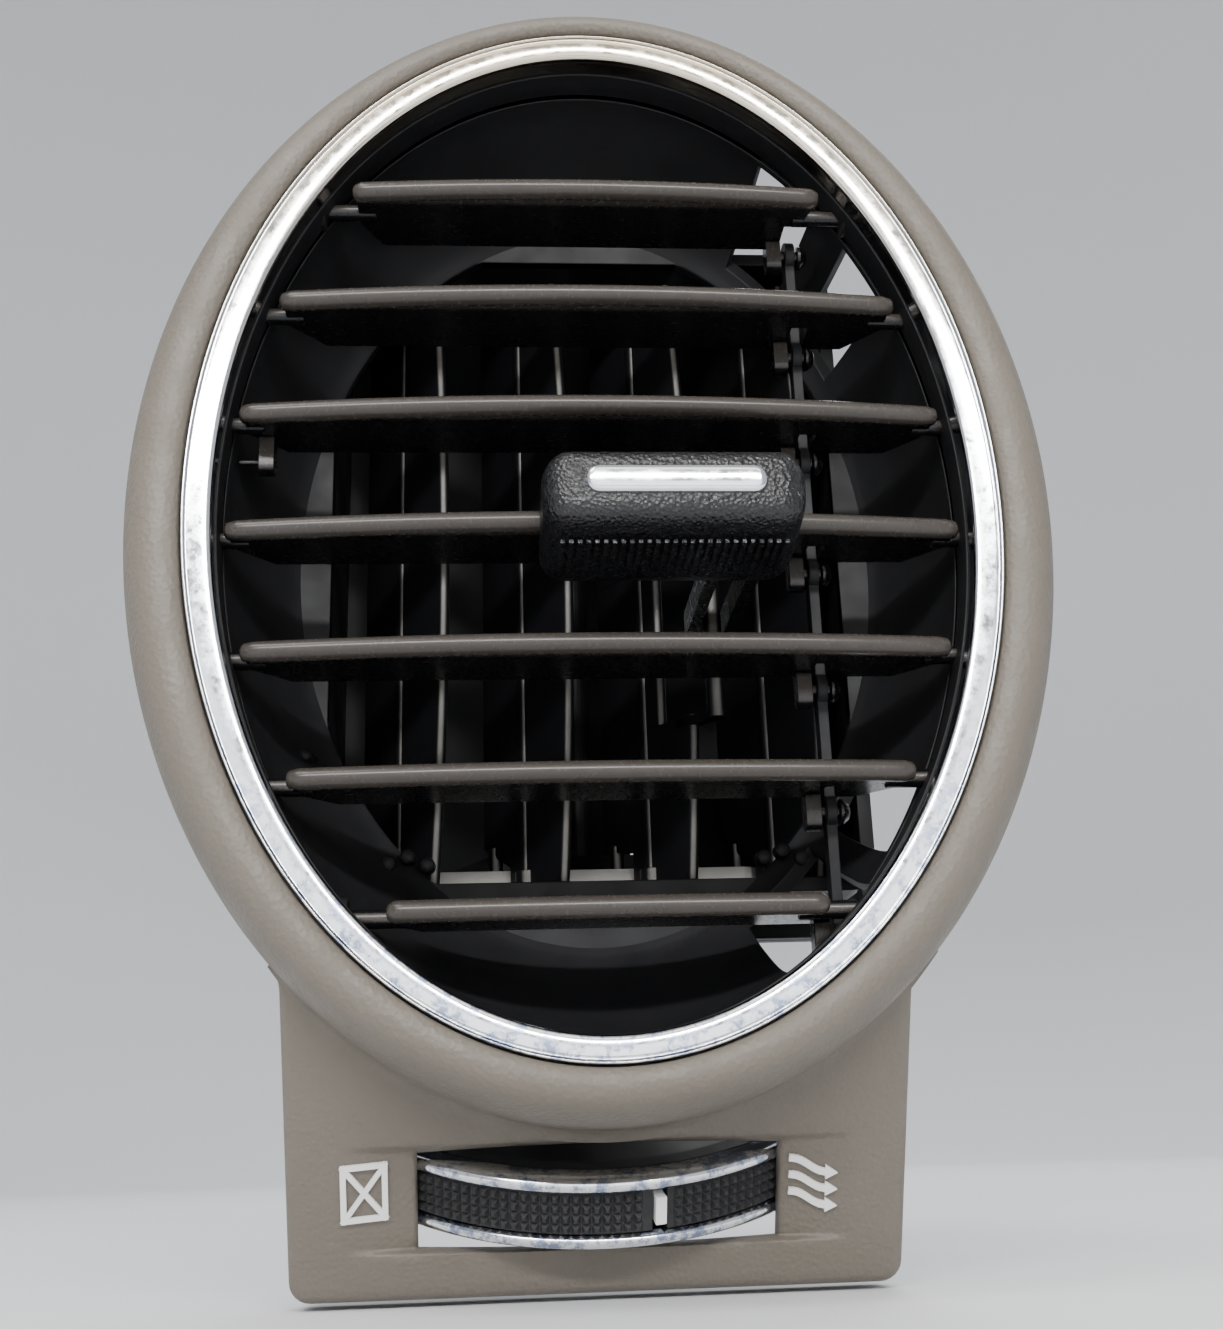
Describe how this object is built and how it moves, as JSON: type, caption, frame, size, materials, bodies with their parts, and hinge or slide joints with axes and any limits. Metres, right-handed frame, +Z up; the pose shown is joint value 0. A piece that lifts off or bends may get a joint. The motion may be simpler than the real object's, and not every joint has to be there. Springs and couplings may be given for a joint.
{
  "type": "dashboard air outlet",
  "caption": "Oval dashboard air vent with bright trim ring, linked horizontal and vertical vanes, sliding direction knob and a thumbwheel damper control.",
  "frame": {"origin": "centre of the oval opening, in the plane of the opening's edge", "axes": "+Z up along the long axis of the oval, +Y into the dashboard, +X to the right seen from the seat"},
  "size_m": [0.1038, 0.0885, 0.1471],
  "materials": {
    "taupe": "fine leather grain, warm taupe grey",
    "chrome": "bright plated plastic",
    "white": "white pad print",
    "black": "satin black",
    "vane": "dark bronze painted, satin",
    "knob": "coarse glossy black grain",
    "rubber": "knurled soft black",
    "nylon": "natural nylon",
    "foam": "soft closed-cell foam",
    "steel": "zinc plated"
  },
  "bodies": {
    "housing": {"bezel_ring": "taupe", "bezel_plate": "taupe", "trim_ring": "chrome", "symbol_closed": "white", "symbol_open_1": "white", "symbol_open_2": "white", "symbol_open_3": "white", "shroud_collar": "black", "shroud_funnel": "black", "mount_flange": "black", "vane_frame": "black", "wheel_axle": "steel", "wheel_bracket": "black", "rear_duct": "black", "duct_neck": "black", "inlet_foam_seal": "foam", "screw_1": "steel", "screw_2": "steel", "screw_3": "steel", "screw_4": "steel", "spring_clip_1": "steel", "spring_clip_2": "steel"},
    "hvane_1_body": {"hvane_1": "vane"},
    "hvane_2_body": {"hvane_2": "vane"},
    "hvane_3_body": {"hvane_3": "vane"},
    "hvane_4_body": {"hvane_4": "vane"},
    "hvane_5_body": {"hvane_5": "vane"},
    "hvane_6_body": {"hvane_6": "vane"},
    "hvane_7_body": {"hvane_7": "vane"},
    "hvane_link_body": {"hvane_link": "black"},
    "knob": {"knob_body": "knob", "knob_insert": "chrome"},
    "vvane_1_body": {"vvane_1": "black"},
    "vvane_2_body": {"vvane_2": "black"},
    "vvane_3_body": {"vvane_3": "black"},
    "vvane_4_body": {"vvane_4": "black"},
    "vvane_link_body": {"vvane_link": "nylon"},
    "thumbwheel": {"wheel_hub": "black", "wheel_rim_upper": "chrome", "wheel_rim_lower": "chrome", "wheel_tread": "rubber", "wheel_indicator": "white"},
    "link_rod_body": {"link_rod": "nylon"},
    "damper": {"damper_flap": "black", "damper_seal_left": "foam", "damper_seal_right": "foam"}
  },
  "joints": [
    {"name": "hvane_4_tilt", "type": "hinge", "parent": "housing", "child": "hvane_4_body", "pos_m": [0, 0.006, -0.0027], "axis": [1, 0, 0], "range_deg": [-20, 16]},
    {"name": "hvane_1_tilt", "type": "hinge", "parent": "housing", "child": "hvane_1_body", "pos_m": [0, 0.006, 0.0393], "axis": [1, 0, 0], "range_deg": [-20.02, 16.02]},
    {"name": "hvane_2_tilt", "type": "hinge", "parent": "housing", "child": "hvane_2_body", "pos_m": [0, 0.006, 0.0253], "axis": [1, 0, 0], "range_deg": [-20.02, 16.02]},
    {"name": "hvane_3_tilt", "type": "hinge", "parent": "housing", "child": "hvane_3_body", "pos_m": [0, 0.006, 0.0113], "axis": [1, 0, 0], "range_deg": [-20.02, 16.02]},
    {"name": "hvane_5_tilt", "type": "hinge", "parent": "housing", "child": "hvane_5_body", "pos_m": [0, 0.006, -0.0167], "axis": [1, 0, 0], "range_deg": [-20.02, 16.02]},
    {"name": "hvane_6_tilt", "type": "hinge", "parent": "housing", "child": "hvane_6_body", "pos_m": [0, 0.006, -0.0307], "axis": [1, 0, 0], "range_deg": [-20.02, 16.02]},
    {"name": "hvane_7_tilt", "type": "hinge", "parent": "housing", "child": "hvane_7_body", "pos_m": [0, 0.006, -0.0447], "axis": [1, 0, 0], "range_deg": [-20.02, 16.02]},
    {"name": "hvane_link_pivot", "type": "hinge", "parent": "hvane_3_body", "child": "hvane_link_body", "pos_m": [0.0252, 0.0107, 0.0087], "axis": [1, 0, 0], "range_deg": [-16.02, 20.02]},
    {"name": "knob_slide", "type": "slide", "parent": "hvane_4_body", "child": "knob", "axis": [1, 0, 0], "range_m": [-0.0152, 0.0004]},
    {"name": "vvane_1_yaw", "type": "hinge", "parent": "housing", "child": "vvane_1_body", "pos_m": [-0.0228, 0.032, 0.002], "axis": [0, 0, 1], "range_deg": [-70.81, 1.88]},
    {"name": "vvane_2_yaw", "type": "hinge", "parent": "housing", "child": "vvane_2_body", "pos_m": [-0.0076, 0.032, 0.002], "axis": [0, 0, 1], "range_deg": [-70.81, 1.88]},
    {"name": "vvane_3_yaw", "type": "hinge", "parent": "housing", "child": "vvane_3_body", "pos_m": [0.0076, 0.032, 0.002], "axis": [0, 0, 1], "range_deg": [-70.81, 1.88]},
    {"name": "vvane_4_yaw", "type": "hinge", "parent": "housing", "child": "vvane_4_body", "pos_m": [0.0228, 0.032, 0.002], "axis": [0, 0, 1], "range_deg": [-70.81, 1.88]},
    {"name": "vvane_link_pivot", "type": "hinge", "parent": "vvane_2_body", "child": "vvane_link_body", "pos_m": [-0.01151, 0.0378, -0.0355], "axis": [0, 0, 1], "range_deg": [-1.88, 70.81]},
    {"name": "thumbwheel_turn", "type": "hinge", "parent": "housing", "child": "thumbwheel", "pos_m": [-0.0008, 0.04488, -0.05973], "axis": [0, -0.454, 0.891], "range_deg": [-51, 29]},
    {"name": "link_rod_pivot", "type": "hinge", "parent": "thumbwheel", "child": "link_rod_body", "pos_m": [-0.00233, 0.0477, -0.04797], "axis": [0, -0.454, 0.891], "range_deg": [-29.02, 51.02]},
    {"name": "damper_turn", "type": "hinge", "parent": "housing", "child": "damper", "pos_m": [0, 0.0575, 0], "axis": [0, 0, 1], "range_deg": [-51.02, 29.02]}
  ],
  "couplings": [
    {"joint": "hvane_1_tilt", "follows": "hvane_4_tilt", "ratio": 1},
    {"joint": "hvane_2_tilt", "follows": "hvane_4_tilt", "ratio": 1},
    {"joint": "hvane_3_tilt", "follows": "hvane_4_tilt", "ratio": 1},
    {"joint": "hvane_5_tilt", "follows": "hvane_4_tilt", "ratio": 1},
    {"joint": "hvane_6_tilt", "follows": "hvane_4_tilt", "ratio": 1},
    {"joint": "hvane_7_tilt", "follows": "hvane_4_tilt", "ratio": 1},
    {"joint": "hvane_link_pivot", "follows": "hvane_4_tilt", "ratio": -1},
    {"joint": "vvane_1_yaw", "follows": "knob_slide", "rad_per_m": 81.289},
    {"joint": "vvane_2_yaw", "follows": "knob_slide", "rad_per_m": 81.289},
    {"joint": "vvane_3_yaw", "follows": "knob_slide", "rad_per_m": 81.289},
    {"joint": "vvane_4_yaw", "follows": "knob_slide", "rad_per_m": 81.289},
    {"joint": "vvane_link_pivot", "follows": "knob_slide", "rad_per_m": -81.289},
    {"joint": "link_rod_pivot", "follows": "thumbwheel_turn", "ratio": -1},
    {"joint": "damper_turn", "follows": "thumbwheel_turn", "ratio": 1}
  ]
}
